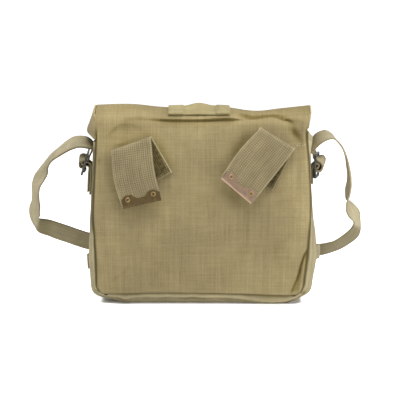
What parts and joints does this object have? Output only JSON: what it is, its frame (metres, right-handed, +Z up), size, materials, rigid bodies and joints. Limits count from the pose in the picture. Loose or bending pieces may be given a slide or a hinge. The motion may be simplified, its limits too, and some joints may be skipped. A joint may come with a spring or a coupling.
{
  "type": "canvas field bag",
  "caption": "Upright canvas field satchel seen from its back, with a full front flap, a webbing shoulder strap, a carry handle and folded broad straps that end in double hook plates.",
  "frame": {"origin": "middle of the flat base, on the surface that the bag stands on", "axes": "+Z up, +X to the right as seen from the back of the bag, the back faces -Y and the front flap faces +Y"},
  "size_m": [0.4968, 0.1174, 0.2892],
  "materials": {
    "canvas": "matt khaki cotton canvas",
    "narrow_webbing": "matt khaki cotton webbing",
    "broad_webbing": "matt ribbed cotton webbing",
    "aged_brass": "brown aged brass",
    "rivet_brass": "worn brass",
    "blackened_metal": "blackened, satin"
  },
  "bodies": {
    "root": {"cover": "canvas", "gusset": "canvas", "front_panel": "canvas", "wing_left": "canvas", "wing_right": "canvas", "carry_handle": "narrow_webbing", "handle_tab_left": "narrow_webbing", "handle_tab_right": "narrow_webbing", "chape_left": "narrow_webbing", "chape_right": "narrow_webbing", "shoulder_strap": "narrow_webbing", "side_tab_left": "narrow_webbing", "side_tab_right": "narrow_webbing", "hook_strap_left": "broad_webbing", "hook_strap_right": "broad_webbing", "hook_plate_left": "aged_brass", "hook_plate_right": "aged_brass", "rivet_left_first": "rivet_brass", "rivet_left_second": "rivet_brass", "rivet_right_first": "rivet_brass", "rivet_right_second": "rivet_brass", "buckle_left": "blackened_metal", "buckle_right": "blackened_metal"}
  },
  "joints": []
}
